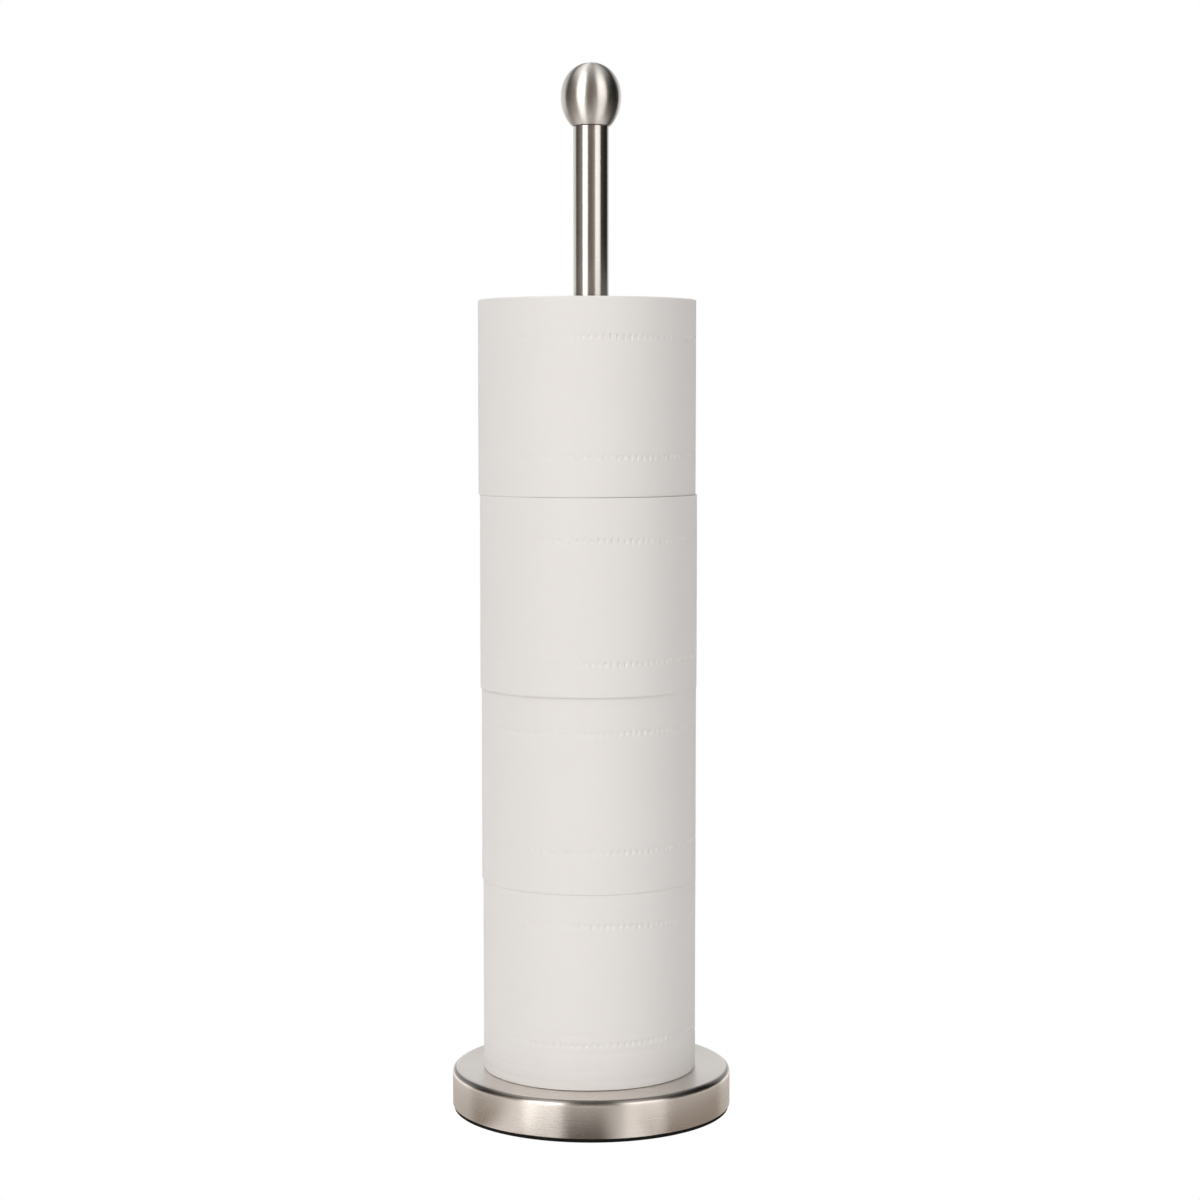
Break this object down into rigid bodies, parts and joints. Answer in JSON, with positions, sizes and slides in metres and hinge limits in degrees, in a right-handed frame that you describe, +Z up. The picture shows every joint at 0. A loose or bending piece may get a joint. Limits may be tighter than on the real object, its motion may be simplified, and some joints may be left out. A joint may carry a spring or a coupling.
{
  "type": "spare toilet roll stand",
  "caption": "Free-standing storage stand: a round weighted base and an upright pole with an egg-shaped knob, holding a stack of toilet rolls that lift off over the knob and turn on the pole.",
  "frame": {"origin": "on the floor, at the centre of the base's underside, on the pole's axis", "axes": "+Z up along the pole to the knob; -Y is the front that faces the viewer; +X is the viewer's right"},
  "size_m": [0.15, 0.15, 0.559],
  "materials": {
    "brushed_cover": "satin",
    "brushed_pole": "polished",
    "brushed_knob": "polished",
    "zinc_plated": "satin",
    "ballast": "matte",
    "tray_plastic": "satin",
    "pad_rubber": "matte",
    "tissue": "matte",
    "core_board": "matte"
  },
  "bodies": {
    "stand": {"base_cover": "brushed_cover", "ballast_disc": "ballast", "base_tray": "tray_plastic", "base_pad": "pad_rubber", "base_bolt": "zinc_plated", "base_lock_washer": "zinc_plated", "base_washer": "zinc_plated", "pole_foot_plug": "zinc_plated", "pole_lower_tube": "brushed_pole", "pole_joint_socket": "zinc_plated", "pole_joint_stud": "zinc_plated", "pole_upper_tube": "brushed_pole", "pole_top_plug": "zinc_plated", "knob_shell": "brushed_knob", "knob_boss": "zinc_plated", "knob_stud": "zinc_plated"},
    "roll_4_tube": {"roll_4_core": "core_board"},
    "roll_4_tissue": {"roll_4_paper": "tissue"},
    "roll_3_tube": {"roll_3_core": "core_board"},
    "roll_3_tissue": {"roll_3_paper": "tissue"},
    "roll_2_tube": {"roll_2_core": "core_board"},
    "roll_2_tissue": {"roll_2_paper": "tissue"},
    "roll_1_tube": {"roll_1_core": "core_board"},
    "roll_1_tissue": {"roll_1_paper": "tissue"}
  },
  "joints": [
    {"name": "roll_4_lift", "type": "slide", "parent": "stand", "child": "roll_4_tube", "axis": [0, 0, 1], "range_m": [0, 0.54]},
    {"name": "roll_4_spin", "type": "hinge", "parent": "roll_4_tube", "child": "roll_4_tissue", "pos_m": [-0.001, 0, 0.07395], "axis": [0, 0, 1], "continuous": true},
    {"name": "roll_3_lift", "type": "slide", "parent": "roll_4_tube", "child": "roll_3_tube", "axis": [0, 0, 1], "range_m": [0, 0.44]},
    {"name": "roll_3_spin", "type": "hinge", "parent": "roll_3_tube", "child": "roll_3_tissue", "pos_m": [-0.0012, 0.0005, 0.17695], "axis": [0, 0, 1], "continuous": true},
    {"name": "roll_2_lift", "type": "slide", "parent": "roll_3_tube", "child": "roll_2_tube", "axis": [0, 0, 1], "range_m": [0, 0.335]},
    {"name": "roll_2_spin", "type": "hinge", "parent": "roll_2_tube", "child": "roll_2_tissue", "pos_m": [-0.0014, -0.0004, 0.27995], "axis": [0, 0, 1], "continuous": true},
    {"name": "roll_1_lift", "type": "slide", "parent": "roll_2_tube", "child": "roll_1_tube", "axis": [0, 0, 1], "range_m": [0, 0.235]},
    {"name": "roll_1_spin", "type": "hinge", "parent": "roll_1_tube", "child": "roll_1_tissue", "pos_m": [-0.0021, 0.0008, 0.38295], "axis": [0, 0, 1], "continuous": true}
  ]
}
